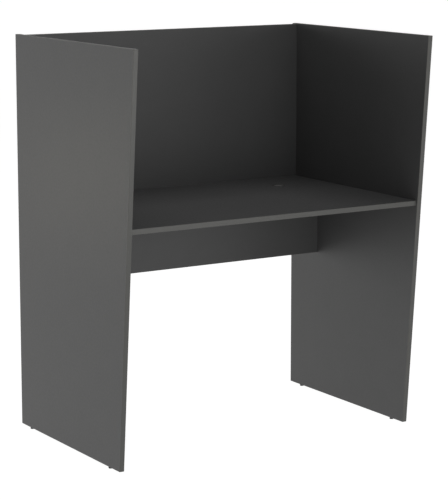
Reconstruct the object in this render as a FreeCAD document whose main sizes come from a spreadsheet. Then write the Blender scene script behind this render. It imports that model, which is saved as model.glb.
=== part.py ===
"""Booth desk: two tall side panels carry a desktop, a rear screen and a modesty panel.

Frame: +X to the sitter's right, +Y to the back, +Z up, millimetres. The origin is on the floor,
under the middle of the box that holds the desk.
"""
import FreeCAD
import Part
import Sketcher
import math
import os
import re

# Driving dimensions, in millimetres. Everything else is worked out from these.
SIZES = {
    # boards
    "desk_width": 1080.0,
    "top_depth": 760.0,
    "floor_depth": 656.0,
    "side_height": 1274.0,
    "board_thickness": 16.0,
    "desktop_height": 750.0,
    "desktop_setback": 7.0,
    "rear_inset": 10.0,
    "screen_drop": 2.0,
    "modesty_setback": 160.0,
    "modesty_height": 236.0,
    # edging strips
    "front_edging": 2.0,
    "thin_edging": 1.0,
    "arris_radius": 0.8,
    # levelling feet
    "rear_foot_inset": 60.0,
    "front_foot_inset": 70.0,
    "pad_diameter": 13.0,
    "pad_height": 5.7,
    "pad_chamfer": 1.0,
    "foot_gap": 0.3,
    "stud_diameter": 6.0,
    "stud_length": 28.0,
    "stud_seat": 3.0,
    "insert_wall": 2.0,
    "insert_length": 13.0,
    # clearances and chamfers shared by the small pieces
    "running_clearance": 0.1,
    "fit_clearance": 0.1,
    "end_clearance": 0.5,
    "small_chamfer": 0.5,
    # cam locks and their bolts
    "cam_diameter": 15.0,
    "cam_skin": 3.5,
    "cam_sink": 0.3,
    "cam_reach": 34.0,
    "cam_pilot_diameter": 5.0,
    "cam_recess_depth": 2.5,
    "cam_slot_width": 1.2,
    "cam_slot_length": 9.0,
    "bolt_bore_diameter": 8.0,
    "bolt_thread_diameter": 5.0,
    "bolt_skin": 5.0,
    "bolt_shank_diameter": 6.8,
    "bolt_neck_diameter": 4.0,
    "bolt_head_length": 2.5,
    # dowels
    "dowel_diameter": 8.0,
    "dowel_length": 30.0,
    "dowel_skin": 6.0,
    # where the fittings sit along the boards
    "desktop_fitting_inset": 70.0,
    "panel_fitting_inset": 50.0,
    "dowel_pitch": 32.0,
    "edge_dowel_inset": 150.0,
    # cover caps on the cams that open to the back
    "cap_lip": 1.0,
    "cap_thickness": 1.0,
    "cap_spigot_length": 2.0,
    # cable grommet
    "grommet_from_side": 187.0,
    "grommet_gap": 17.0,
    "grommet_hole": 36.0,
    "flange_lip": 4.0,
    "flange_thickness": 3.0,
    "flange_bevel": 2.0,
    "sleeve_wall": 2.0,
    "sleeve_drop": 4.0,
    "recess_step": 1.0,
    "ledge_width": 3.0,
    "ledge_thickness": 2.5,
    "lid_gap": 0.3,
    "lid_thickness": 1.7,
    "lid_skirt_depth": 4.0,
    "lid_skirt_wall": 2.0,
    "lid_opening_line": 4.5,
}

# Lines and planes of the desk, as formulas of the sizes above, in the desk's own frame
HALF_SPAN = "(desk_width / 2 - board_thickness)"
PANEL_MIDDLE = "(desk_width / 2 - board_thickness / 2)"
REAR = "(top_depth / 2)"
PANEL_FOOT = "(pad_height + foot_gap)"
SIDE_TOP = f"({PANEL_FOOT} + side_height)"
SCREEN_TOP = f"({SIDE_TOP} - screen_drop)"
UNDERSIDE = "(desktop_height - board_thickness)"
MODESTY_FOOT = f"({UNDERSIDE} - modesty_height)"
HALF_BOARD = "(board_thickness / 2)"
BOARD_REAR = f"({REAR} - rear_inset)"
MODESTY_REAR = f"({REAR} - modesty_setback + board_thickness)"
LEAN = "((top_depth - floor_depth) / side_height)"


def front_line(height, inset="0"):
    """Y of the side panels' leaning front edge, at a height over the panel's foot.

    The inset is measured square to the edge, towards the back.
    """
    return f"({REAR} - floor_depth - {LEAN} * ({height}) + ({inset}) * sqrt(1 + {LEAN} ^ 2))"


BOARD_FRONT = f"({front_line(f'desktop_height - {PANEL_FOOT}')} + desktop_setback)"
REAR_FOOT_Y = f"({REAR} - rear_foot_inset)"
FRONT_FOOT_Y = f"({REAR} - floor_depth + front_foot_inset)"
GROMMET_X = f"({HALF_SPAN} - grommet_from_side)"
GROMMET_Y = f"({REAR} - modesty_setback - grommet_gap - grommet_hole / 2)"

# Where the fittings join the boards: depths on the desktop's ends, heights on the upright boards' ends
DESKTOP_CAM_DEPTHS = [
    f"({BOARD_FRONT} + desktop_fitting_inset)",
    f"(({BOARD_FRONT} + {BOARD_REAR}) / 2)",
    f"({BOARD_REAR} - desktop_fitting_inset)",
]
DESKTOP_DOWEL_DEPTHS = [
    f"({DESKTOP_CAM_DEPTHS[0]} + dowel_pitch)",
    f"({DESKTOP_CAM_DEPTHS[2]} - dowel_pitch)",
]
SCREEN_CAM_HEIGHTS = ["(desktop_height + panel_fitting_inset)", f"({SCREEN_TOP} - panel_fitting_inset)"]
SCREEN_DOWEL_HEIGHT = f"((desktop_height + {SCREEN_TOP}) / 2)"
MODESTY_CAM_HEIGHTS = [f"({MODESTY_FOOT} + panel_fitting_inset)", f"({UNDERSIDE} - panel_fitting_inset)"]
MODESTY_DOWEL_HEIGHT = f"(({MODESTY_FOOT} + {UNDERSIDE}) / 2)"
EDGE_DOWEL_PLACES = [f"(edge_dowel_inset - {HALF_SPAN})", "0", f"({HALF_SPAN} - edge_dowel_inset)"]
SCREEN_MIDDLE = f"({BOARD_REAR} - {HALF_BOARD})"
MODESTY_MIDDLE = f"({MODESTY_REAR} - {HALF_BOARD})"
DESKTOP_MIDDLE = f"({UNDERSIDE} + {HALF_BOARD})"

# Depths of the fittings' bores, and the diameters that go with them
CAM_BORE_DEPTH = "(board_thickness - cam_skin)"
BOLT_THREAD_LENGTH = "(board_thickness - bolt_skin)"
DOWEL_FACE_LENGTH = "(board_thickness - dowel_skin)"
DOWEL_EDGE_LENGTH = f"(dowel_length - {DOWEL_FACE_LENGTH})"
DOWEL_BORE = "(dowel_diameter + 2 * fit_clearance)"
BOLT_THREAD_BORE = "(bolt_thread_diameter + 2 * fit_clearance)"
INSERT_DIAMETER = "(stud_diameter + 2 * insert_wall)"
INSERT_BORE = f"({INSERT_DIAMETER} + 2 * fit_clearance)"
STUD_BORE = "(stud_diameter + 4 * end_clearance)"
STUD_BORE_DEPTH = "(stud_length - stud_seat - foot_gap + end_clearance)"

# Turns that carry a fitting's own axes onto the desk's: a fitting is drawn along its own +Z
X_AXIS = FreeCAD.Vector(1, 0, 0)
Y_AXIS = FreeCAD.Vector(0, 1, 0)
Z_AXIS = FreeCAD.Vector(0, 0, 1)
UPRIGHT = FreeCAD.Rotation()
TURNED_DOWN = FreeCAD.Rotation(X_AXIS, 180)
INWARD = {-1: FreeCAD.Rotation(Y_AXIS, 90), 1: FreeCAD.Rotation(Y_AXIS, -90)}
FACING_DOWN = {-1: FreeCAD.Rotation(Y_AXIS, 180), 1: FreeCAD.Rotation(X_AXIS, 180)}
FACING_BACK = {
    -1: FreeCAD.Rotation(Y_AXIS, 180).multiply(FreeCAD.Rotation(X_AXIS, -90)),
    1: FreeCAD.Rotation(X_AXIS, -90),
}

SIDES = {"left": -1, "right": 1}

# A strip's edges that are longer than this share of its longest one run along the strip.
LONG_EDGE_SHARE = 0.9
# Largest share of a strip's thickness that its rounded arrises take up
ARRIS_SHARE = 0.6

doc = FreeCAD.newDocument("booth_desk")
pieces = []


def bind(item, target, formula):
    """Ties a property to a formula of the sheet's sizes."""
    cells = re.sub(r"[a-z_]+", lambda word: f"Sizes.{word[0]}" if word[0] in SIZES else word[0], formula)
    item.setExpression(target, cells)


def make_sheet():
    """Writes each driving dimension into the sheet, under its own name."""
    sheet = doc.addObject("Spreadsheet::Sheet", "Sizes")
    for row, (name, value) in enumerate(SIZES.items(), start=1):
        sheet.set(f"A{row}", name)
        sheet.set(f"B{row}", str(value))
        sheet.setAlias(f"B{row}", name)
    doc.recompute()


def place(item, x="0", y="0", z="0"):
    """Ties an object's place to formulas."""
    for axis, formula in zip("xyz", (x, y, z)):
        bind(item, f"Placement.Base.{axis}", formula)


def new_body(label, x="0", y="0", z="0"):
    """An empty body with its label and place."""
    body = doc.addObject("PartDesign::Body", label)
    body.Label = label
    place(body, x, y, z)
    return body


def add_sketch(body, plane_role, offset="0"):
    """A sketch on one of the body's own planes, moved along the plane's normal."""
    plane = next(item for item in body.Origin.OriginFeatures if item.Role == plane_role)
    sketch = body.newObject("Sketcher::SketchObject", f"{body.Label}_sketch")
    sketch.AttachmentSupport = [(plane, "")]
    sketch.MapMode = "FlatFace"
    bind(sketch, "AttachmentOffset.Base.z", offset)
    return sketch


def pin(sketch, geometry, point, start, formulas):
    """Holds one point of a sketch at a pair of formulas, measured from the sketch's origin."""
    for kind, value, formula in zip(("DistanceX", "DistanceY"), start, formulas):
        index = sketch.addConstraint(Sketcher.Constraint(kind, -1, 1, geometry, point, value))
        bind(sketch, f"Constraints[{index}]", formula)


def draw_polygon(sketch, corners):
    """A closed outline whose corners are pairs of formulas. It starts as a small ring of points."""
    count = len(corners)
    turns = [2 * math.pi * corner / count for corner in range(count)]
    ring = [FreeCAD.Vector(math.cos(turn), math.sin(turn), 0) for turn in turns]
    for corner in range(count):
        sketch.addGeometry(Part.LineSegment(ring[corner], ring[(corner + 1) % count]))
    for corner in range(count):
        sketch.addConstraint(Sketcher.Constraint("Coincident", corner, 2, (corner + 1) % count, 1))
    for corner, formulas in enumerate(corners):
        pin(sketch, corner, 1, ring[corner], formulas)


def draw_circles(sketch, diameter, centres):
    """Circles of one diameter at pairs of formulas."""
    for number, formulas in enumerate(centres):
        start = FreeCAD.Vector(number + 1, number + 1, 0)
        circle = sketch.addGeometry(Part.Circle(start, Z_AXIS, 1))
        index = sketch.addConstraint(Sketcher.Constraint("Diameter", circle, 2))
        bind(sketch, f"Constraints[{index}]", diameter)
        pin(sketch, circle, 3, start, formulas)


def pad(body, plane_role, corners, thickness, with_normal=True):
    """Draws an outline on a plane and gives it a thickness."""
    sketch = add_sketch(body, plane_role)
    draw_polygon(sketch, corners)
    feature = body.newObject("PartDesign::Pad", f"{body.Label}_board")
    feature.Profile = sketch
    feature.Reversed = not with_normal
    bind(feature, "Length", thickness)
    return feature


def drill(body, plane_role, offset, with_normal, diameter, depth, centres):
    """Round bores from a plane into the body, with or against the plane's normal."""
    sketch = add_sketch(body, plane_role, offset)
    draw_circles(sketch, diameter, centres)
    feature = body.newObject("PartDesign::Pocket", f"{body.Label}_bores")
    feature.Profile = sketch
    feature.Reversed = with_normal
    bind(feature, "Length", depth)


def turned(label, profile, x="0", y="0", z="0"):
    """A round piece: a profile of radius and height, turned about its own +Z."""
    body = new_body(label, x, y, z)
    sketch = add_sketch(body, "XZ_Plane")
    draw_polygon(sketch, profile)
    feature = body.newObject("PartDesign::Revolution", f"{label}_turn")
    feature.Profile = sketch
    feature.ReferenceAxis = (sketch, ["V_Axis"])
    feature.Angle = 360
    return body


def primitive(kind, label, rotation=UPRIGHT, x="0", y="0", z="0", **sizes):
    """A plain solid with its sizes and place tied to formulas."""
    item = doc.addObject(kind, label)
    item.Placement = FreeCAD.Placement(FreeCAD.Vector(), rotation)
    place(item, x, y, z)
    for name, formula in sizes.items():
        bind(item, name, formula)
    return item


def group(label, master, places):
    """Like pieces as one node: the master piece repeated at each turn and place."""
    copies = []
    for rotation, x, y, z in places:
        copy = doc.addObject("App::Link", f"{label}_copy")
        copy.LinkedObject = master
        copy.LinkTransform = False
        copy.Placement = FreeCAD.Placement(FreeCAD.Vector(), rotation)
        place(copy, x, y, z)
        copies.append(copy)
    node = doc.addObject("Part::Compound", label)
    node.Label = label
    node.Links = copies
    pieces.append(node)


def foot_places(sign):
    """Plan positions of the two feet under one side panel."""
    x = f"({sign} * {PANEL_MIDDLE})"
    return {"front": (x, FRONT_FOOT_Y), "rear": (x, REAR_FOOT_Y)}


def make_side_panels():
    """The two side panels, drawn from their inner faces outwards and bored for the fittings."""
    corners = [
        (f"{REAR} - thin_edging", f"{PANEL_FOOT} + thin_edging"),
        (f"{REAR} - thin_edging", f"{SIDE_TOP} - front_edging"),
        (front_line("side_height - front_edging", "front_edging"), f"{SIDE_TOP} - front_edging"),
        (front_line("thin_edging", "front_edging"), f"{PANEL_FOOT} + thin_edging"),
    ]
    bolt_bores = [(depth, DESKTOP_MIDDLE) for depth in DESKTOP_CAM_DEPTHS]
    bolt_bores += [(SCREEN_MIDDLE, height) for height in SCREEN_CAM_HEIGHTS]
    bolt_bores += [(MODESTY_MIDDLE, height) for height in MODESTY_CAM_HEIGHTS]
    dowel_bores = [(depth, DESKTOP_MIDDLE) for depth in DESKTOP_DOWEL_DEPTHS]
    dowel_bores += [(SCREEN_MIDDLE, SCREEN_DOWEL_HEIGHT), (MODESTY_MIDDLE, MODESTY_DOWEL_HEIGHT)]
    for side, sign in SIDES.items():
        outward = sign > 0
        body = new_body(f"{side}_side_panel", x=f"{sign} * {HALF_SPAN}")
        pad(body, "YZ_Plane", corners, "board_thickness", outward)
        bolt_depth = f"{BOLT_THREAD_LENGTH} + end_clearance"
        dowel_depth = f"{DOWEL_FACE_LENGTH} + end_clearance"
        drill(body, "YZ_Plane", "0", outward, BOLT_THREAD_BORE, bolt_depth, bolt_bores)
        drill(body, "YZ_Plane", "0", outward, DOWEL_BORE, dowel_depth, dowel_bores)
        feet = [(f"{sign} * {HALF_BOARD}", y) for _, y in foot_places(sign).values()]
        drill(body, "XY_Plane", PANEL_FOOT, True, INSERT_BORE, "insert_length + end_clearance", feet)
        drill(body, "XY_Plane", PANEL_FOOT, True, STUD_BORE, STUD_BORE_DEPTH, feet)
        pieces.append(body)


def make_side_edging():
    """Edging on the side panels: front and rear strips run past the ends of the top and bottom ones."""
    front_top = front_line("side_height", "front_edging")
    front_foot = front_line("0", "front_edging")
    outlines = {
        "front": (Y_AXIS * -1, "front_edging", [
            (front_line("0"), PANEL_FOOT),
            (front_line("side_height"), SIDE_TOP),
            (front_top, SIDE_TOP),
            (front_foot, PANEL_FOOT),
        ]),
        "rear": (Y_AXIS, "thin_edging", [
            (REAR, PANEL_FOOT),
            (REAR, SIDE_TOP),
            (f"{REAR} - thin_edging", SIDE_TOP),
            (f"{REAR} - thin_edging", PANEL_FOOT),
        ]),
        "top": (Z_AXIS, "front_edging", [
            (f"{REAR} - thin_edging", SIDE_TOP),
            (front_top, SIDE_TOP),
            (front_line("side_height - front_edging", "front_edging"), f"{SIDE_TOP} - front_edging"),
            (f"{REAR} - thin_edging", f"{SIDE_TOP} - front_edging"),
        ]),
        "bottom": (Z_AXIS * -1, "thin_edging", [
            (f"{REAR} - thin_edging", PANEL_FOOT),
            (front_foot, PANEL_FOOT),
            (front_line("thin_edging", "front_edging"), f"{PANEL_FOOT} + thin_edging"),
            (f"{REAR} - thin_edging", f"{PANEL_FOOT} + thin_edging"),
        ]),
    }
    for side, sign in SIDES.items():
        for edge, (outward, thickness, corners) in outlines.items():
            body = new_body(f"{side}_{edge}_edging", x=f"{sign} * {HALF_SPAN}")
            strip = pad(body, "YZ_Plane", corners, "board_thickness", sign > 0)
            round_arrises(body, strip, outward, thickness)
            if edge == "bottom":
                feet = [(f"{sign} * {HALF_BOARD}", y) for _, y in foot_places(sign).values()]
                drill(body, "XY_Plane", PANEL_FOOT, True, INSERT_BORE, "thin_edging", feet)
            pieces.append(body)


def round_arrises(body, strip, outward, thickness):
    """Rounds the two long outer edges of an edging strip, by no more than the strip can take."""
    doc.recompute()
    edges = strip.Shape.Edges
    longest = max(edge.Length for edge in edges)
    long_enough = LONG_EDGE_SHARE * longest
    numbers = [number for number, edge in enumerate(edges, start=1) if edge.Length > long_enough]
    numbers.sort(key=lambda number: edges[number - 1].CenterOfMass.dot(outward))
    rounding = body.newObject("PartDesign::Fillet", f"{body.Label}_arris")
    rounding.Base = (strip, [f"Edge{number}" for number in numbers[-2:]])
    bind(rounding, "Radius", f"min(arris_radius; {ARRIS_SHARE} * {thickness})")


def rectangle(low_u, high_u, low_v, high_v):
    """Corners of a rectangle between two pairs of lines."""
    return [(low_u, low_v), (high_u, low_v), (high_u, high_v), (low_u, high_v)]


def cam_places_along(values):
    """Both ends of a board at each of the given lines: the cam's distance from the middle and the line."""
    return [(f"{sign} * ({HALF_SPAN} - cam_reach)", value) for sign in SIDES.values() for value in values]


def bore_ends(body, bolts, dowels):
    """Bores in both ends of a board for the cam bolts and the dowels."""
    for sign in SIDES.values():
        end = f"{sign} * {HALF_SPAN}"
        drill(body, "YZ_Plane", end, sign < 0, "bolt_bore_diameter", "cam_reach", bolts)
        drill(body, "YZ_Plane", end, sign < 0, DOWEL_BORE, f"{DOWEL_EDGE_LENGTH} + end_clearance", dowels)


def make_desktop():
    """The desktop, bored for the grommet and the fittings, with edging at its front and rear."""
    body = new_body("desktop", z=UNDERSIDE)
    left, right = f"-{HALF_SPAN}", HALF_SPAN
    outline = rectangle(left, right, f"{BOARD_FRONT} + front_edging", f"{BOARD_REAR} - thin_edging")
    pad(body, "XY_Plane", outline, "board_thickness")
    drill(body, "XY_Plane", "0", True, "grommet_hole", "board_thickness", [(GROMMET_X, GROMMET_Y)])
    drill(body, "XY_Plane", "0", True, "cam_diameter", CAM_BORE_DEPTH, cam_places_along(DESKTOP_CAM_DEPTHS))
    bore_ends(
        body,
        [(depth, HALF_BOARD) for depth in DESKTOP_CAM_DEPTHS],
        [(depth, HALF_BOARD) for depth in DESKTOP_DOWEL_DEPTHS],
    )
    face_depth = f"{DOWEL_FACE_LENGTH} + end_clearance"
    under_screen = [(x, SCREEN_MIDDLE) for x in EDGE_DOWEL_PLACES]
    over_modesty = [(x, MODESTY_MIDDLE) for x in EDGE_DOWEL_PLACES]
    drill(body, "XY_Plane", "board_thickness", False, DOWEL_BORE, face_depth, under_screen)
    drill(body, "XY_Plane", "0", True, DOWEL_BORE, face_depth, over_modesty)
    pieces.append(body)
    strips = {
        "desktop_front_edging": (Y_AXIS * -1, "front_edging", BOARD_FRONT, f"{BOARD_FRONT} + front_edging"),
        "desktop_rear_edging": (Y_AXIS, "thin_edging", f"{BOARD_REAR} - thin_edging", BOARD_REAR),
    }
    for label, (outward, thickness, low, high) in strips.items():
        strip_body = new_body(label, z=UNDERSIDE)
        strip = pad(strip_body, "XY_Plane", rectangle(left, right, low, high), "board_thickness")
        round_arrises(strip_body, strip, outward, thickness)
        pieces.append(strip_body)


def make_upright_boards():
    """The rear screen and the modesty panel, drawn from their rear faces, with one edged edge each."""
    left, right = f"-{HALF_SPAN}", HALF_SPAN
    screen = new_body("rear_screen", y=BOARD_REAR)
    modesty = new_body("modesty_panel", y=MODESTY_REAR)
    screen_outline = rectangle(left, right, "desktop_height", f"{SCREEN_TOP} - front_edging")
    modesty_outline = rectangle(left, right, f"{MODESTY_FOOT} + thin_edging", UNDERSIDE)
    boards = (
        (screen, screen_outline, SCREEN_CAM_HEIGHTS, SCREEN_DOWEL_HEIGHT, "desktop_height", True),
        (modesty, modesty_outline, MODESTY_CAM_HEIGHTS, MODESTY_DOWEL_HEIGHT, UNDERSIDE, False),
    )
    for body, outline, cam_heights, dowel_height, dowelled_edge, upwards in boards:
        pad(body, "XZ_Plane", outline, "board_thickness")
        drill(body, "XZ_Plane", "0", True, "cam_diameter", CAM_BORE_DEPTH, cam_places_along(cam_heights))
        bolts = [(f"-{HALF_BOARD}", height) for height in cam_heights]
        bore_ends(body, bolts, [(f"-{HALF_BOARD}", dowel_height)])
        edge_dowels = [(x, f"-{HALF_BOARD}") for x in EDGE_DOWEL_PLACES]
        edge_depth = f"{DOWEL_EDGE_LENGTH} + end_clearance"
        drill(body, "XY_Plane", dowelled_edge, upwards, DOWEL_BORE, edge_depth, edge_dowels)
        pieces.append(body)
    strips = {
        "screen_top_edging": (
            Z_AXIS, "front_edging", BOARD_REAR, f"{SCREEN_TOP} - front_edging", SCREEN_TOP,
        ),
        "modesty_bottom_edging": (
            Z_AXIS * -1, "thin_edging", MODESTY_REAR, MODESTY_FOOT, f"{MODESTY_FOOT} + thin_edging",
        ),
    }
    for label, (outward, thickness, rear_face, low, high) in strips.items():
        strip_body = new_body(label, y=rear_face)
        strip = pad(strip_body, "XZ_Plane", rectangle(left, right, low, high), "board_thickness")
        round_arrises(strip_body, strip, outward, thickness)
        pieces.append(strip_body)


def make_cam():
    """One cam lock: its driven end is at z = 0, and the bolt's head sits in a chamber half a board in."""
    radius = "(cam_diameter / 2 - fit_clearance)"
    height = f"({CAM_BORE_DEPTH} - cam_sink - fit_clearance)"
    bolt_level = f"(cam_sink - {HALF_BOARD})"
    chamber_radius = "(bolt_shank_diameter / 2 + end_clearance)"
    housing = primitive("Part::Cylinder", "cam_housing", z=f"-{height}", Radius=radius, Height=height)
    chamber = primitive(
        "Part::Cylinder", "cam_chamber", z=f"{bolt_level} - {chamber_radius}",
        Radius=chamber_radius, Height=f"2 * {chamber_radius}",
    )
    neck_way = primitive(
        "Part::Cylinder", "cam_neck_way", FreeCAD.Rotation(Y_AXIS, 90), z=bolt_level,
        Radius="bolt_neck_diameter / 2 + end_clearance", Height="cam_diameter",
    )
    pilot = primitive(
        "Part::Cylinder", "cam_pilot", z="-cam_recess_depth",
        Radius="cam_pilot_diameter / 2", Height="cam_recess_depth",
    )
    slots = [
        primitive(
            "Part::Box", "cam_slot", x=f"-{length} / 2", y=f"-{width} / 2", z="-cam_recess_depth",
            Length=length, Width=width, Height="cam_recess_depth",
        )
        for length, width in (("cam_slot_length", "cam_slot_width"), ("cam_slot_width", "cam_slot_length"))
    ]
    hollows = doc.addObject("Part::MultiFuse", "cam_hollows")
    hollows.Shapes = [chamber, neck_way, pilot] + slots
    cam = doc.addObject("Part::Cut", "cam_master")
    cam.Base = housing
    cam.Tool = hollows
    return cam


def make_bolt():
    """One cam bolt along +Z: its thread is below the panel's face at z = 0, its head is in the cam."""
    thread = "(bolt_thread_diameter / 2)"
    shank = "(bolt_shank_diameter / 2)"
    neck = "(bolt_neck_diameter / 2)"
    shank_end = "(cam_reach - cam_diameter / 2 - end_clearance)"
    head_start = "(cam_reach - bolt_head_length / 2)"
    head_end = "(cam_reach + bolt_head_length / 2)"
    return turned("cam_bolt_master", [
        ("0", f"-{BOLT_THREAD_LENGTH}"),
        (f"{thread} - small_chamfer", f"-{BOLT_THREAD_LENGTH}"),
        (thread, f"small_chamfer - {BOLT_THREAD_LENGTH}"),
        (thread, "0"),
        (shank, "0"),
        (shank, shank_end),
        (neck, shank_end),
        (neck, head_start),
        (shank, head_start),
        (shank, head_end),
        ("0", head_end),
    ])


def make_dowel():
    """One dowel along +Z: the part below z = 0 sits in a board's face, the rest in a board's edge."""
    radius = "(dowel_diameter / 2)"
    return turned("dowel_master", [
        ("0", f"-{DOWEL_FACE_LENGTH}"),
        (f"{radius} - small_chamfer", f"-{DOWEL_FACE_LENGTH}"),
        (radius, f"small_chamfer - {DOWEL_FACE_LENGTH}"),
        (radius, f"{DOWEL_EDGE_LENGTH} - small_chamfer"),
        (f"{radius} - small_chamfer", DOWEL_EDGE_LENGTH),
        ("0", DOWEL_EDGE_LENGTH),
    ])


def make_cap():
    """One cover cap: a thin disc on the board's face at z = 0, with a spigot in the cam's pilot hole."""
    radius = "(cam_diameter / 2 + cap_lip)"
    spigot = "(cam_pilot_diameter / 2 - fit_clearance)"
    return turned("cap_master", [
        ("0", "-cap_spigot_length"),
        (spigot, "-cap_spigot_length"),
        (spigot, "0"),
        (radius, "0"),
        (radius, "cap_thickness - small_chamfer"),
        (f"{radius} - small_chamfer", "cap_thickness"),
        ("0", "cap_thickness"),
    ])


def make_fittings():
    """Cams, bolts, dowels and caps of the desktop, the screen and the modesty panel."""
    cam = make_cam()
    bolt = make_bolt()
    dowel = make_dowel()
    cap = make_cap()
    ends = [
        (sign, f"{sign} * {HALF_SPAN}", f"{sign} * ({HALF_SPAN} - cam_reach)")
        for sign in SIDES.values()
    ]
    group("desktop_cams", cam, [
        (FACING_DOWN[sign], cam_x, depth, f"{UNDERSIDE} + cam_sink")
        for sign, _, cam_x in ends for depth in DESKTOP_CAM_DEPTHS
    ])
    group("desktop_cam_bolts", bolt, [
        (INWARD[sign], end, depth, DESKTOP_MIDDLE)
        for sign, end, _ in ends for depth in DESKTOP_CAM_DEPTHS
    ])
    group("desktop_dowels", dowel, [
        (INWARD[sign], end, depth, DESKTOP_MIDDLE)
        for sign, end, _ in ends for depth in DESKTOP_DOWEL_DEPTHS
    ])
    uprights = (
        (
            "screen", BOARD_REAR, SCREEN_MIDDLE, SCREEN_CAM_HEIGHTS,
            SCREEN_DOWEL_HEIGHT, UPRIGHT, "desktop_height",
        ),
        (
            "modesty", MODESTY_REAR, MODESTY_MIDDLE, MODESTY_CAM_HEIGHTS,
            MODESTY_DOWEL_HEIGHT, TURNED_DOWN, UNDERSIDE,
        ),
    )
    for name, rear_face, middle, cam_heights, dowel_height, edge_turn, edge_height in uprights:
        group(f"{name}_cams", cam, [
            (FACING_BACK[sign], cam_x, f"{rear_face} - cam_sink", height)
            for sign, _, cam_x in ends for height in cam_heights
        ])
        group(f"{name}_cam_caps", cap, [
            (FACING_BACK[sign], cam_x, rear_face, height)
            for sign, _, cam_x in ends for height in cam_heights
        ])
        group(f"{name}_cam_bolts", bolt, [
            (INWARD[sign], end, middle, height) for sign, end, _ in ends for height in cam_heights
        ])
        dowels = [(INWARD[sign], end, middle, dowel_height) for sign, end, _ in ends]
        dowels += [(edge_turn, x, middle, edge_height) for x in EDGE_DOWEL_PLACES]
        group(f"{name}_dowels", dowel, dowels)


def make_grommet():
    """The cable grommet: a flanged sleeve in the desktop, and a lid cut off straight towards the rear."""
    tube = "(grommet_hole / 2 - fit_clearance)"
    bore = f"({tube} - sleeve_wall)"
    flange = "(grommet_hole / 2 + flange_lip)"
    recess = f"({tube} - recess_step)"
    ledge = f"({recess} - ledge_width)"
    ledge_top = "(flange_thickness - lid_thickness - lid_gap)"
    ledge_foot = f"({ledge_top} - ledge_thickness)"
    sleeve_foot = "(-board_thickness - sleeve_drop)"
    sleeve = turned("grommet_sleeve", [
        (tube, "0"),
        (flange, "0"),
        (flange, "flange_thickness - flange_bevel"),
        (f"{flange} - flange_bevel", "flange_thickness"),
        (recess, "flange_thickness"),
        (recess, ledge_top),
        (ledge, ledge_top),
        (ledge, ledge_foot),
        (bore, ledge_foot),
        (bore, sleeve_foot),
        (tube, sleeve_foot),
    ], GROMMET_X, GROMMET_Y, "desktop_height")
    lid_radius = f"({recess} - lid_gap)"
    lid_foot = f"({ledge_top} + lid_gap)"
    skirt = f"({ledge} - lid_gap)"
    skirt_foot = f"({lid_foot} - lid_skirt_depth)"
    lid = turned("grommet_lid", [
        ("0", "flange_thickness"),
        (f"{lid_radius} - small_chamfer", "flange_thickness"),
        (lid_radius, "flange_thickness - small_chamfer"),
        (lid_radius, lid_foot),
        (skirt, lid_foot),
        (skirt, skirt_foot),
        (f"{skirt} - lid_skirt_wall", skirt_foot),
        (f"{skirt} - lid_skirt_wall", lid_foot),
        ("0", lid_foot),
    ], GROMMET_X, GROMMET_Y, "desktop_height")
    cut_opening(lid, flange)
    pieces.extend([sleeve, lid])


def cut_opening(lid, past_rim):
    """Cuts the lid off straight, a little behind its middle, which leaves an opening for cables."""
    sketch = add_sketch(lid, "XY_Plane", "flange_thickness")
    draw_polygon(sketch, rectangle(f"-{past_rim}", past_rim, "lid_opening_line", past_rim))
    feature = lid.newObject("PartDesign::Pocket", "grommet_lid_opening")
    feature.Profile = sketch
    bind(feature, "Length", "lid_thickness + lid_skirt_depth")


def make_feet():
    """Four levelling feet, each a moulded pad on a threaded stud, and the inserts that hold the studs."""
    pad_radius = "(pad_diameter / 2)"
    stud_radius = "(stud_diameter / 2)"
    socket = f"({stud_radius} + fit_clearance)"
    socket_floor = "(pad_height - stud_seat)"
    stud_top = f"({socket_floor} + stud_length)"
    pad_profile = [
        ("0", "0"),
        (f"{pad_radius} - pad_chamfer", "0"),
        (pad_radius, "pad_chamfer"),
        (pad_radius, "pad_height - small_chamfer"),
        (f"{pad_radius} - small_chamfer", "pad_height"),
        (socket, "pad_height"),
        (socket, socket_floor),
        ("0", socket_floor),
    ]
    stud_profile = [
        ("0", socket_floor),
        (stud_radius, socket_floor),
        (stud_radius, f"{stud_top} - small_chamfer"),
        (f"{stud_radius} - small_chamfer", stud_top),
        ("0", stud_top),
    ]
    bore = f"({stud_radius} + running_clearance)"
    outside = f"({INSERT_DIAMETER} / 2)"
    insert = turned("insert_master", rectangle(bore, outside, "0", "insert_length"))
    insert_places = []
    for side, sign in SIDES.items():
        for end, (x, y) in foot_places(sign).items():
            pieces.append(turned(f"{end}_{side}_foot_pad", pad_profile, x, y))
            pieces.append(turned(f"{end}_{side}_foot_stud", stud_profile, x, y))
            insert_places.append((UPRIGHT, x, y, PANEL_FOOT))
    group("foot_inserts", insert, insert_places)


def check():
    """Stops if anything failed, is empty or broken, or if a bore missed the piece that it is drilled in."""
    for item in doc.Objects:
        if "Invalid" in item.State or "Error" in item.State:
            raise RuntimeError(f"{item.Name} did not build: {item.State}")
    for piece in pieces:
        if piece.Shape.isNull() or not piece.Shape.isValid() or not piece.Shape.Solids:
            raise RuntimeError(f"{piece.Label} has no sound solid")
    for item in doc.Objects:
        if item.TypeId == "PartDesign::Pocket" and item.Shape.Volume >= item.BaseFeature.Shape.Volume:
            raise RuntimeError(f"{item.Name} cuts nothing")


def write_pieces():
    """Writes each piece to its own file, named by its label."""
    os.makedirs("parts", exist_ok=True)
    for piece in pieces:
        piece.Shape.exportStep(f"parts/{piece.Label}.step")
        box = piece.Shape.BoundBox
        size = f"{box.XLength:.1f} x {box.YLength:.1f} x {box.ZLength:.1f}"
        print(f"{piece.Label}: {len(piece.Shape.Solids)} solids, {size}")


make_sheet()
make_side_panels()
make_side_edging()
make_desktop()
make_upright_boards()
make_fittings()
make_grommet()
make_feet()
doc.recompute()
check()
write_pieces()
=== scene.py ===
import math

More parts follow.
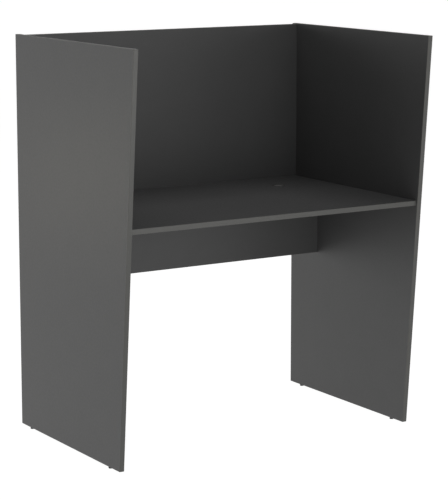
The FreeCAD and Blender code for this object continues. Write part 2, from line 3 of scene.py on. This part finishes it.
import bpy
import numpy as np
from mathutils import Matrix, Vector


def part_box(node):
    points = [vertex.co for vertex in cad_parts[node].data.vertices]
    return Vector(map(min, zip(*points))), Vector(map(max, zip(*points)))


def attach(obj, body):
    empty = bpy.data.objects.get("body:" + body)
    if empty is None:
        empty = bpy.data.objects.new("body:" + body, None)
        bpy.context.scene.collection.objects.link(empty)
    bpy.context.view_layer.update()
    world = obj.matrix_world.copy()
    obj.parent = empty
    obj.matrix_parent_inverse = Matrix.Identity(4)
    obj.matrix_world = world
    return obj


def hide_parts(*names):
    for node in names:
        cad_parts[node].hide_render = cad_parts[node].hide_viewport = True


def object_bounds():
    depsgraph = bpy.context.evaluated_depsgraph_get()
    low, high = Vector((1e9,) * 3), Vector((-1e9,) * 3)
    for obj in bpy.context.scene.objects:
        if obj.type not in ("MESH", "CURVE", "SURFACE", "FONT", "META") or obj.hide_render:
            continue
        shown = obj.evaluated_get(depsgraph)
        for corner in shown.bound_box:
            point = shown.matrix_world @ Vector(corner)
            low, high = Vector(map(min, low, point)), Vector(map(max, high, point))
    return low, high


bl_info = {
    "name": "Booth Desk Dressing",
    "version": (1, 0, 0),
    "blender": (4, 5, 0),
    "location": "View3D > Sidebar > Booth Desk",
    "description": "Finishes the booth desk's boards, edging, fittings and feet, and sets its studio",
    "category": "Object",
}

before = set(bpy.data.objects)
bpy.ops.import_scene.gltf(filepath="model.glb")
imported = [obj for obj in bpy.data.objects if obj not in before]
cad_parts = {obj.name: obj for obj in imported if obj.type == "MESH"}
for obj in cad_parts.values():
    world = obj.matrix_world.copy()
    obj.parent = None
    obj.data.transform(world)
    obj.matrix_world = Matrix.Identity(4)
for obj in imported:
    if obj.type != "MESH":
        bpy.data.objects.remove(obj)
CAD_BOX = [list(corner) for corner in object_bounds()]

MM = 0.001
SIDES = ("left", "right")
BOARDS = ("left_side_panel", "right_side_panel", "desktop", "rear_screen", "modesty_panel")
PANEL_EDGES = ("front", "top", "rear", "bottom")
EDGINGS = tuple(f"{side}_{edge}_edging" for side in SIDES for edge in PANEL_EDGES) + (
    "desktop_front_edging", "desktop_rear_edging", "screen_top_edging", "modesty_bottom_edging",
)
CAMS = ("desktop_cams", "screen_cams", "modesty_cams")
STEELS = ("desktop_cam_bolts", "screen_cam_bolts", "modesty_cam_bolts", "foot_inserts")
DOWELS = ("desktop_dowels", "screen_dowels", "modesty_dowels")
CAPS = ("screen_cam_caps", "modesty_cam_caps")
GROMMET = ("grommet_sleeve", "grommet_lid")
FEET = tuple(f"{end}_{side}_foot" for side in SIDES for end in ("front", "rear"))

# Most of a noise pattern's values lie in this range; the rest are cut off at its ends.
NOISE_RANGE = (0.3, 0.7)
# Octaves of the broad noise that carries a finish's tone, and of the fine one that carries its gloss
TONE_DETAIL = 3.0
GRAIN_DETAIL = 1.0
EVEN = (1, 1, 1)
WHITE = (1, 1, 1, 1)
# Width of the camera's sensor, in millimetres
SENSOR_WIDTH = 36
# Neighbouring faces that meet at more than this angle keep a sharp edge between them.
SHARP_ANGLE = math.radians(35)
# The standard sRGB curve: a straight line up to the knee, and a power above it
SRGB_KNEE = 0.04045
SRGB_SLOPE = 12.92
SRGB_OFFSET = 0.055
SRGB_POWER = 2.4


def linear(code):
    """An sRGB hex colour as linear red, green and blue."""
    srgb = np.array([int(code[index:index + 2], 16) for index in (0, 2, 4)]) / 255
    straight = srgb / SRGB_SLOPE
    curved = ((srgb + SRGB_OFFSET) / (1 + SRGB_OFFSET)) ** SRGB_POWER
    return tuple(np.where(srgb <= SRGB_KNEE, straight, curved))


def colour_property(name, description, code):
    """A colour that a user can change, with its default from an sRGB hex code."""
    return bpy.props.FloatVectorProperty(
        name=name, description=description, subtype="COLOR", size=3, min=0, max=1, default=linear(code),
    )


def share_property(name, description, default):
    """A share between nothing and one."""
    return bpy.props.FloatProperty(
        name=name, description=description, subtype="FACTOR", default=default, min=0, max=1,
    )


def number_property(name, description, default):
    """A number that isn't negative."""
    return bpy.props.FloatProperty(name=name, description=description, default=default, min=0)


def length_property(name, description, millimetres):
    """A length, shown in the scene's units."""
    return bpy.props.FloatProperty(
        name=name, description=description, default=millimetres * MM, min=0, unit="LENGTH", precision=5,
    )


def angle_property(name, description, degrees):
    """An angle, shown in degrees."""
    return bpy.props.FloatProperty(
        name=name, description=description, default=math.radians(degrees), subtype="ANGLE",
    )


def power_property(name, description, watts):
    """A lamp's power."""
    return bpy.props.FloatProperty(
        name=name, description=description, default=watts, min=0, unit="POWER",
    )


def place_property(name, description, metres):
    """A point in the desk's frame."""
    return bpy.props.FloatVectorProperty(
        name=name, description=description, default=metres, size=3, subtype="TRANSLATION", unit="LENGTH",
    )


class BoardFinish(bpy.types.PropertyGroup):
    """Finish of the boards and their edging"""
    board_colour: colour_property("Board colour", "Printed colour of the melamine paper", "3C3C3C")
    board_roughness: share_property("Board roughness", "Satin of the pressed melamine", 0.48)
    pearl_size: length_property("Pearl size", "Width of one bump of the pressed pearl texture", 7)
    pearl_depth: length_property("Pearl depth", "Height of the pressed pearl texture", 0.04)
    cloud_size: length_property("Cloud size", "Width of the faint clouds in the printed colour", 70)
    edging_colour: colour_property("Edging colour", "Colour of the extruded edging", "41413E")
    edging_roughness: share_property("Edging roughness", "Satin of the extruded edging", 0.42)
    line_size: length_property("Line size", "Spacing of the lines along the edging", 2.5)
    line_depth: length_property("Line depth", "Depth of the lines along the edging", 0.01)
    line_stretch: number_property("Line stretch", "How many times longer than wide the lines are", 40)


class PlasticFinish(bpy.types.PropertyGroup):
    """Finish of the moulded pieces"""
    grommet_colour: colour_property("Grommet colour", "Colour of the moulded grommet", "414140")
    grommet_roughness: share_property("Grommet roughness", "Gloss of the moulded grommet", 0.5)
    cap_colour: colour_property("Cap colour", "Colour of the cams' cover caps", "4A4A49")
    cap_roughness: share_property("Cap roughness", "Gloss of the cams' cover caps", 0.5)
    pad_colour: colour_property("Pad colour", "Colour of the feet's moulded pads", "161617")
    pad_roughness: share_property("Pad roughness", "Gloss of the feet's moulded pads", 0.55)
    spark_size: length_property("Spark size", "Grain of the mould's eroded texture", 0.8)
    spark_depth: length_property("Spark depth", "Height of the mould's eroded texture", 0.02)


class FittingFinish(bpy.types.PropertyGroup):
    """Finish of the metal and wooden fittings"""
    zinc_colour: colour_property("Zinc colour", "Colour of the die-cast cams", "A9ABAD")
    zinc_roughness: share_property("Zinc roughness", "Dullness of the die-cast cams", 0.46)
    blotch_size: length_property("Blotch size", "Width of the blotches in the cast skin", 2.5)
    blotch_depth: length_property("Blotch depth", "Unevenness of the cast skin", 0.02)
    plating_colour: colour_property("Plating colour", "Colour of the zinc plating on steel", "C3C7CB")
    plating_roughness: share_property("Plating roughness", "Dullness of the zinc plating", 0.29)
    mottle_size: length_property("Mottle size", "Width of the plating's mottle", 0.8)
    mottle_depth: length_property("Mottle depth", "Unevenness of the plating", 0.005)
    beech_colour: colour_property("Beech colour", "Colour of the dowels", "C9A67A")
    fleck_colour: colour_property("Fleck colour", "Colour of the dowels' darker flecks", "A37C50")
    beech_roughness: share_property("Beech roughness", "Dullness of the bare wood", 0.7)
    fleck_size: length_property("Fleck size", "Width of the flecks in the wood", 1.2)
    fleck_depth: length_property("Fleck depth", "Unevenness of the bare wood", 0.05)


class FootShape(bpy.types.PropertyGroup):
    """Shape of the levelling feet"""
    thread_pitch: length_property("Thread pitch", "Pitch of the stud's thread", 1.0)
    thread_depth: length_property("Thread depth", "Depth of the stud's thread", 0.61)
    rib_count: bpy.props.IntProperty(
        name="Ribs", description="Grip ribs round the pad", default=18, min=3,
    )
    rib_depth: length_property("Rib depth", "Depth of the grooves between the grip ribs", 0.45)
    pad_edge: length_property("Pad edge", "Radius of the pad's rounded edges", 0.9)


class StudioSetup(bpy.types.PropertyGroup):
    """Floor, light and camera of the studio"""
    floor_colour: colour_property("Floor colour", "Colour of the floor's opal sheet", "6E6E6C")
    floor_roughness: share_property("Floor roughness", "Dullness of the floor's opal sheet", 0.9)
    floor_glow: number_property("Floor glow", "Light that comes up through the opal floor", 0.98)
    floor_reach: length_property("Floor reach", "How far the floor runs to each side", 80000)
    floor_patch: length_property("Floor patch", "Width of the faint patches in the floor", 1500)
    wall_light: number_property("Walls", "Brightness of the white walls", 1.14)
    ceiling_light: number_property("Ceiling", "Brightness of the dim ceiling", 0.02)
    fade_start: angle_property("Fade start", "Height angle where the walls start to dim", 5)
    fade_end: angle_property("Fade end", "Height angle where the ceiling starts", 20)
    overhead_power: power_property("Overhead power", "Power of the softbox overhead", 92)
    overhead_size: length_property("Overhead size", "Side of the square softbox overhead", 4500)
    overhead_place: place_property("Overhead place", "Where the softbox overhead hangs", (0, 0, 4.2))
    front_power: power_property("Front power", "Power of the softbox in front", 5.8)
    front_size: length_property("Front size", "Side of the square softbox in front", 1000)
    front_place: place_property("Front place", "Where the softbox in front stands", (0.3, -2.0, 0.9))
    side_power: power_property("Side power", "Power of the warm softbox at the left rear", 0.5)
    side_size: length_property("Side size", "Side of the square softbox at the left rear", 400)
    side_place: place_property("Side place", "Where the softbox at the left rear stands", (-1.2, 0.8, 0.74))
    side_colour: colour_property("Side colour", "Colour of the softbox at the left rear", "FFF6DA")
    camera_place: place_property("Camera place", "Where the camera stands", (-3.2541, -5.1749, 1.6968))
    camera_turn: angle_property("Camera turn", "How far the view turns right of straight ahead", 32.194)
    camera_tilt: angle_property("Camera tilt", "How far the view tilts down", 9.379)
    lens_length: bpy.props.FloatProperty(
        name="Lens", description="Focal length on a 36 mm sensor", default=139.01, min=1, unit="CAMERA",
    )
    lens_shift: bpy.props.FloatProperty(
        name="Lens shift", description="Upward shift, as a share of the picture's long side", default=-0.06,
    )


def add_node(tree, kind, inputs=None, stops=None, **settings):
    """Adds one node, sets its properties and colour stops, and sets or links each named input."""
    node = tree.nodes.new(kind)
    for name, value in settings.items():
        setattr(node, name, value)
    for name, value in (inputs or {}).items():
        if isinstance(value, bpy.types.NodeSocket):
            tree.links.new(value, node.inputs[name])
        else:
            node.inputs[name].default_value = value
    if stops:
        for element, (position, colour) in zip(node.color_ramp.elements, stops):
            element.position = position
            element.color = (*colour, 1)
    return node


def grained_material(name, colours, gloss, tone_size, grain_size, relief, stretch=EVEN, **fixed):
    """A finish with a grain worked out from the piece's own place.

    A broad noise runs the colour from the first to the second. A fine noise runs the roughness from
    the first to the second value of the gloss, and raises the surface by the relief. The stretch
    multiplies the place along each axis, so less than one draws the grain out. The fixed values go to
    the shader's own sockets.
    """
    material = bpy.data.materials.new(name)
    material.use_nodes = True
    tree = material.node_tree
    tree.nodes.clear()
    place = add_node(tree, "ShaderNodeTexCoord").outputs["Object"]
    drawn = add_node(tree, "ShaderNodeMapping", {"Vector": place, "Scale": stretch}).outputs["Vector"]
    broad = {"Vector": drawn, "Scale": 1 / tone_size, "Detail": TONE_DETAIL}
    fine = {"Vector": drawn, "Scale": 1 / grain_size, "Detail": GRAIN_DETAIL}
    tone = add_node(tree, "ShaderNodeTexNoise", broad).outputs["Fac"]
    grain = add_node(tree, "ShaderNodeTexNoise", fine).outputs["Fac"]
    stops = list(zip(NOISE_RANGE, colours))
    colour = add_node(tree, "ShaderNodeValToRGB", {"Fac": tone}, stops).outputs["Color"]
    low, high = NOISE_RANGE
    satin = {"Value": grain, "From Min": low, "From Max": high, "To Min": gloss[0], "To Max": gloss[1]}
    roughness = add_node(tree, "ShaderNodeMapRange", satin).outputs["Result"]
    normal = add_node(tree, "ShaderNodeBump", {"Height": grain, "Distance": relief}).outputs["Normal"]
    looks = {"Base Color": colour, "Roughness": roughness, "Normal": normal, **fixed}
    shader = add_node(tree, "ShaderNodeBsdfPrincipled", looks)
    add_node(tree, "ShaderNodeOutputMaterial", {"Surface": shader.outputs["BSDF"]})
    return material


def tones(colour, share):
    """Two colours, one a share darker and one a share lighter than the given one."""
    middle = np.array(colour)
    return tuple(middle * (1 - share)), tuple(middle * (1 + share))


def spread(middle, reach):
    """Two numbers, the same reach below and above a middle one."""
    return middle - reach, middle + reach


def melamine_board(finish):
    """Chipboard faced with printed melamine paper, pressed against a pearl-textured plate.

    The eye sees an even graphite grey with a soft satin sheen and faint clouds, and close up a fine
    pearl grain.
    """
    # A real pearl is about 1.4 mm wide; it is drawn wider, so that it shows.
    return grained_material(
        "melamine_graphite_pearl", tones(finish.board_colour, share=0.03),
        spread(finish.board_roughness, reach=0.03), finish.cloud_size, finish.pearl_size,
        finish.pearl_depth, IOR=1.5,
    )


def extruded_edging(finish, axis):
    """Extruded ABS edging strip along one axis, glued to the board and scraped flush.

    The eye sees a smooth satin strip, a little lighter and warmer than the board's face, with faint
    lines along its length.
    """
    # Real extrusion lines are about 0.5 mm apart; they are drawn wider, so that they show.
    stretch = list(EVEN)
    stretch[axis] = 1 / finish.line_stretch
    return grained_material(
        f"abs_edging_graphite_{'xyz'[axis]}", tones(finish.edging_colour, share=0.03),
        spread(finish.edging_roughness, reach=0.04), finish.cloud_size, finish.line_size,
        finish.line_depth, stretch, IOR=1.53,
    )


def moulded_plastic(name, colour, roughness, finish):
    """Plastic from a spark-eroded mould: the eye sees an even, slightly grained skin without lustre."""
    # Real spark texture is about 0.1 mm wide; it is drawn wider, so that it shows.
    return grained_material(
        name, tones(colour, share=0.1), spread(roughness, reach=0.06), finish.spark_size,
        finish.spark_size, finish.spark_depth, IOR=1.5,
    )


def die_cast_zinc(finish):
    """Bare die-cast zinc: the eye sees dull grey metal with a slightly blotched skin."""
    return grained_material(
        "die_cast_zinc", tones(finish.zinc_colour, share=0.08), spread(finish.zinc_roughness, reach=0.09),
        finish.blotch_size, finish.blotch_size, finish.blotch_depth, Metallic=1.0,
    )


def zinc_plated_steel(name, finish):
    """Steel with bright zinc plating: the eye sees silvery metal whose gloss is faintly mottled."""
    return grained_material(
        name, tones(finish.plating_colour, share=0.04), spread(finish.plating_roughness, reach=0.07),
        finish.mottle_size, finish.mottle_size, finish.mottle_depth, Metallic=1.0,
    )


def beech(finish):
    """Bare beech dowel: the eye sees pale brown, matt wood with small darker flecks."""
    return grained_material(
        "beech_dowel", (finish.fleck_colour, finish.beech_colour),
        spread(finish.beech_roughness, reach=0.06), finish.fleck_size, finish.fleck_size,
        finish.fleck_depth, IOR=1.5,
    )


def opal_floor(studio):
    """Opal acrylic sheet, evenly lit from below: the eye sees plain white with no shadow."""
    glow = {"Emission Color": WHITE, "Emission Strength": studio.floor_glow}
    return grained_material(
        "opal_acrylic_floor", tones(studio.floor_colour, share=0.003),
        spread(studio.floor_roughness, reach=0.02), studio.floor_patch, studio.floor_patch,
        relief=0.0, IOR=1.49, **glow,
    )


def dress(names, material):
    """Gives the named CAD pieces one material."""
    for name in names:
        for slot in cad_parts[name].material_slots:
            slot.material = material


def long_axis(name):
    """The axis along which a CAD piece is longest."""
    low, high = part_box(name)
    return int(np.argmax(np.subtract(high, low)))


def turned_mesh(name, radii, heights, centre, material):
    """A closed round surface, with a radius and height for each step of a profile and each turn.

    The point at step i and turn j is (radius cos, radius sin, height) about the centre; the first and
    last steps are closed by a point on the axis.
    """
    steps, turns = radii.shape
    angles = np.linspace(0, 2 * math.pi, turns, endpoint=False)
    x = radii * np.cos(angles) + centre[0]
    y = radii * np.sin(angles) + centre[1]
    ring_points = np.stack([x, y, heights + centre[2]], axis=-1).reshape(-1, 3)
    poles = [(centre[0], centre[1], heights[end].mean() + centre[2]) for end in (0, -1)]
    index = np.arange(steps * turns).reshape(steps, turns)
    following = np.roll(index, -1, axis=1)
    quads = np.stack([index[:-1], following[:-1], following[1:], index[1:]], axis=-1).reshape(-1, 4)
    foot, head = steps * turns, steps * turns + 1
    foot_fan = np.stack([np.full(turns, foot), following[0], index[0]], axis=-1)
    head_fan = np.stack([np.full(turns, head), index[-1], following[-1]], axis=-1)
    mesh = bpy.data.meshes.new(name)
    faces = quads.tolist() + foot_fan.tolist() + head_fan.tolist()
    mesh.from_pydata(np.vstack([ring_points, poles]).tolist(), [], faces)
    mesh.shade_smooth()
    mesh.set_sharp_from_angle(angle=SHARP_ANGLE)
    mesh.materials.append(material)
    piece = bpy.data.objects.new(name, mesh)
    bpy.context.scene.collection.objects.link(piece)
    return piece


def node_axis(node):
    """The middle of a round upright CAD piece in plan, its radius, and its lowest and highest level."""
    low, high = (np.array(corner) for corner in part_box(node))
    middle = (low + high) / 2
    return middle[:2], (high[0] - low[0]) / 2, low[2], high[2]


def threaded_stud(foot, shape, material):
    """A stud with a real screw thread.

    The radius falls from the crest by a triangle wave of the height over the pitch less the turn, so
    the wave climbs one pitch in each turn. At both ends it fades to the thread's root.
    """
    facets, rows_per_pitch = 40, 10
    node = f"{foot}_stud"
    (x, y), crest, foot_level, head_level = node_axis(node)
    length = head_level - foot_level
    level = np.linspace(0, length, int(length / shape.thread_pitch * rows_per_pitch))[:, None]
    turn = np.linspace(0, 1, facets, endpoint=False)[None, :]
    phase = (level / shape.thread_pitch - turn) % 1
    valley = 1 - np.abs(2 * phase - 1)
    from_end = np.minimum(level, length - level)
    full = np.clip(from_end / shape.thread_pitch, 0, 1)
    radii = crest - shape.thread_depth * (valley * full + (1 - full))
    heights = np.broadcast_to(level, radii.shape)
    piece = turned_mesh(f"{node}_thread", radii, heights, (x, y, foot_level), material)
    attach(piece, foot)
    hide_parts(node)


def ribbed_pad(foot, shape, material):
    """A foot pad with grip ribs.

    A profile of radius and height runs from near the middle of the underside, round the rim, to the
    stud's socket and down it. A cosine of the turn draws the rim in between the ribs, less and less
    over the rounded edges.
    """
    arc_steps, flat_steps, facets_per_rib = 6, 5, 10
    node = f"{foot}_pad"
    (x, y), rim, floor, top = node_axis(node)
    _, stud, seat, _ = node_axis(f"{foot}_stud")
    edge, height = shape.pad_edge, top - floor
    inner = rim - edge
    # Each stretch of the profile leaves out its first point: the axis, or the end of the stretch before.
    underside = np.linspace(0, inner, flat_steps)[1:]
    arc = np.linspace(0, math.pi / 2, arc_steps)[1:]
    wall = np.linspace(edge, height - edge, flat_steps)[1:]
    top_ring = np.linspace(inner, stud, flat_steps)[1:]
    socket = np.linspace(height, seat - floor, flat_steps)[1:]
    profile_radius = np.concatenate([
        underside,
        inner + edge * np.sin(arc),
        np.full(wall.size, rim),
        inner + edge * np.cos(arc),
        top_ring,
        np.full(socket.size, stud),
    ])
    profile_height = np.concatenate([
        np.zeros(underside.size),
        edge - edge * np.cos(arc),
        wall,
        height - edge + edge * np.sin(arc),
        np.full(top_ring.size, height),
        socket,
    ])
    turn = np.linspace(0, 2 * math.pi, shape.rib_count * facets_per_rib, endpoint=False)[None, :]
    groove = (1 - np.cos(shape.rib_count * turn)) / 2
    at_rim = np.clip((profile_radius - inner) / edge, 0, 1)[:, None]
    from_edge = np.clip(np.minimum(profile_height, height - profile_height) / edge, 0, 1)[:, None]
    radii = profile_radius[:, None] - shape.rib_depth * groove * at_rim * from_edge
    heights = np.broadcast_to(profile_height[:, None], radii.shape)
    piece = turned_mesh(f"{node}_ribbed", radii, heights, (x, y, floor), material)
    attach(piece, foot)
    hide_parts(node)


def lay_floor(studio):
    """A wide opal floor at the level that the feet stand on."""
    reach, level = studio.floor_reach, CAD_BOX[0][2]
    plan = [(-reach, -reach), (reach, -reach), (reach, reach), (-reach, reach)]
    mesh = bpy.data.meshes.new("studio_floor")
    mesh.from_pydata([(x, y, level) for x, y in plan], [], [(0, 1, 2, 3)])
    mesh.materials.append(opal_floor(studio))
    floor = bpy.data.objects.new("studio_floor", mesh)
    bpy.context.scene.collection.objects.link(floor)


def light_walls(studio):
    """White walls all round that dim smoothly towards the ceiling."""
    world = bpy.data.worlds.new("white_walls")
    world.use_nodes = True
    tree = world.node_tree
    tree.nodes.clear()
    way = add_node(tree, "ShaderNodeTexCoord").outputs["Generated"]
    rise = add_node(tree, "ShaderNodeSeparateXYZ", {"Vector": way}).outputs["Z"]
    upward = {
        "Value": rise,
        "From Min": math.sin(studio.fade_start),
        "From Max": math.sin(studio.fade_end),
        "To Min": studio.wall_light,
        "To Max": studio.ceiling_light,
    }
    fade = add_node(tree, "ShaderNodeMapRange", upward, interpolation_type="SMOOTHSTEP")
    light = {"Color": WHITE, "Strength": fade.outputs["Result"]}
    surround = add_node(tree, "ShaderNodeBackground", light)
    add_node(tree, "ShaderNodeOutputWorld", {"Surface": surround.outputs["Background"]})
    bpy.context.scene.world = world
    # The picture shows the colours as they are, with no film curve.
    bpy.context.scene.view_settings.view_transform = "Standard"


def hang_softbox(name, power, size, place, colour=WHITE[:3]):
    """A square softbox that faces the middle of the desk and stays out of the picture."""
    data = bpy.data.lights.new(f"{name}_softbox", "AREA")
    data.energy = power
    data.size = size
    data.color = colour
    softbox = bpy.data.objects.new(f"{name}_softbox", data)
    softbox.location = place
    middle = Vector(np.mean(CAD_BOX, axis=0).tolist())
    softbox.rotation_euler = (middle - Vector(place)).to_track_quat("-Z", "Y").to_euler()
    softbox.visible_camera = False
    bpy.context.scene.collection.objects.link(softbox)


def set_camera(studio):
    """The camera stands at the photograph's place, turned right and tilted down."""
    data = bpy.data.cameras.new("studio_camera")
    data.lens = studio.lens_length
    data.sensor_width = SENSOR_WIDTH
    data.shift_y = studio.lens_shift
    # Past the floor's far corners from any side
    data.clip_end = 4 * studio.floor_reach
    camera = bpy.data.objects.new("studio_camera", data)
    camera.location = studio.camera_place
    camera.rotation_euler = (math.pi / 2 - studio.camera_tilt, 0, -studio.camera_turn)
    bpy.context.scene.collection.objects.link(camera)
    bpy.context.scene.camera = camera


class BOOTHDESK_OT_boards(bpy.types.Operator):
    """Finishes the five melamine boards"""
    bl_idname = "booth_desk.boards"
    bl_label = "Boards"

    def execute(self, context):
        dress(BOARDS, melamine_board(context.scene.booth_board))
        return {"FINISHED"}


class BOOTHDESK_OT_edging(bpy.types.Operator):
    """Finishes the edging strips on the boards' edges, with their lines along each strip"""
    bl_idname = "booth_desk.edging"
    bl_label = "Edging"

    def execute(self, context):
        for axis in range(3):
            strips = [name for name in EDGINGS if long_axis(name) == axis]
            dress(strips, extruded_edging(context.scene.booth_board, axis))
        return {"FINISHED"}


class BOOTHDESK_OT_grommet(bpy.types.Operator):
    """Finishes the cable grommet's sleeve and lid"""
    bl_idname = "booth_desk.grommet"
    bl_label = "Grommet"

    def execute(self, context):
        finish = context.scene.booth_plastic
        colour, roughness = finish.grommet_colour, finish.grommet_roughness
        dress(GROMMET, moulded_plastic("abs_grommet_graphite", colour, roughness, finish))
        return {"FINISHED"}


class BOOTHDESK_OT_caps(bpy.types.Operator):
    """Finishes the cover caps on the cams at the back"""
    bl_idname = "booth_desk.caps"
    bl_label = "Cover caps"

    def execute(self, context):
        finish = context.scene.booth_plastic
        colour, roughness = finish.cap_colour, finish.cap_roughness
        dress(CAPS, moulded_plastic("polyethylene_cap_graphite", colour, roughness, finish))
        return {"FINISHED"}


class BOOTHDESK_OT_fittings(bpy.types.Operator):
    """Finishes the cams, bolts, inserts and dowels"""
    bl_idname = "booth_desk.fittings"
    bl_label = "Fittings"

    def execute(self, context):
        finish = context.scene.booth_fitting
        dress(CAMS, die_cast_zinc(finish))
        dress(STEELS, zinc_plated_steel("zinc_plated_bolt_steel", finish))
        dress(DOWELS, beech(finish))
        return {"FINISHED"}


class BOOTHDESK_OT_feet(bpy.types.Operator):
    """Makes the four levelling feet with their ribbed pads and threaded studs"""
    bl_idname = "booth_desk.feet"
    bl_label = "Feet"

    def execute(self, context):
        scene = context.scene
        finish = scene.booth_plastic
        steel = zinc_plated_steel("zinc_plated_stud_steel", scene.booth_fitting)
        plastic = moulded_plastic("nylon_pad_black", finish.pad_colour, finish.pad_roughness, finish)
        for foot in FEET:
            threaded_stud(foot, scene.booth_foot, steel)
            ribbed_pad(foot, scene.booth_foot, plastic)
        return {"FINISHED"}


class BOOTHDESK_OT_stage(bpy.types.Operator):
    """Lays the opal floor, lights the studio and sets the camera"""
    bl_idname = "booth_desk.stage"
    bl_label = "Studio"

    def execute(self, context):
        studio = context.scene.booth_studio
        lay_floor(studio)
        light_walls(studio)
        hang_softbox("overhead", studio.overhead_power, studio.overhead_size, studio.overhead_place)
        hang_softbox("front", studio.front_power, studio.front_size, studio.front_place)
        hang_softbox("side", studio.side_power, studio.side_size, studio.side_place, studio.side_colour)
        set_camera(studio)
        return {"FINISHED"}


class BOOTHDESK_PT_panel(bpy.types.Panel):
    """The booth desk's pieces and their settings"""
    bl_idname = "BOOTHDESK_PT_panel"
    bl_label = "Booth Desk"
    bl_space_type = "VIEW_3D"
    bl_region_type = "UI"
    bl_category = "Booth Desk"

    def draw(self, context):
        for step in STEPS:
            self.layout.operator(step.bl_idname)
        for setting, group in SETTINGS.items():
            box = self.layout.box()
            box.label(text=group.__doc__)
            for name in group.__annotations__:
                box.prop(getattr(context.scene, setting), name)


STEPS = (
    BOOTHDESK_OT_boards,
    BOOTHDESK_OT_edging,
    BOOTHDESK_OT_grommet,
    BOOTHDESK_OT_caps,
    BOOTHDESK_OT_fittings,
    BOOTHDESK_OT_feet,
    BOOTHDESK_OT_stage,
)
SETTINGS = {
    "booth_board": BoardFinish,
    "booth_plastic": PlasticFinish,
    "booth_fitting": FittingFinish,
    "booth_foot": FootShape,
    "booth_studio": StudioSetup,
}
CLASSES = (*SETTINGS.values(), *STEPS, BOOTHDESK_PT_panel)


def register():
    """Registers the classes and hangs the settings on the scene."""
    for kind in CLASSES:
        bpy.utils.register_class(kind)
    for setting, group in SETTINGS.items():
        setattr(bpy.types.Scene, setting, bpy.props.PointerProperty(type=group))


def unregister():
    """Takes the settings off the scene and unregisters the classes."""
    for setting in SETTINGS:
        delattr(bpy.types.Scene, setting)
    for kind in reversed(CLASSES):
        bpy.utils.unregister_class(kind)


def main():
    register()
    bpy.ops.booth_desk.boards()
    bpy.ops.booth_desk.edging()
    bpy.ops.booth_desk.grommet()
    bpy.ops.booth_desk.caps()
    bpy.ops.booth_desk.fittings()
    bpy.ops.booth_desk.feet()
    bpy.ops.booth_desk.stage()


if __name__ == "__main__":
    main()
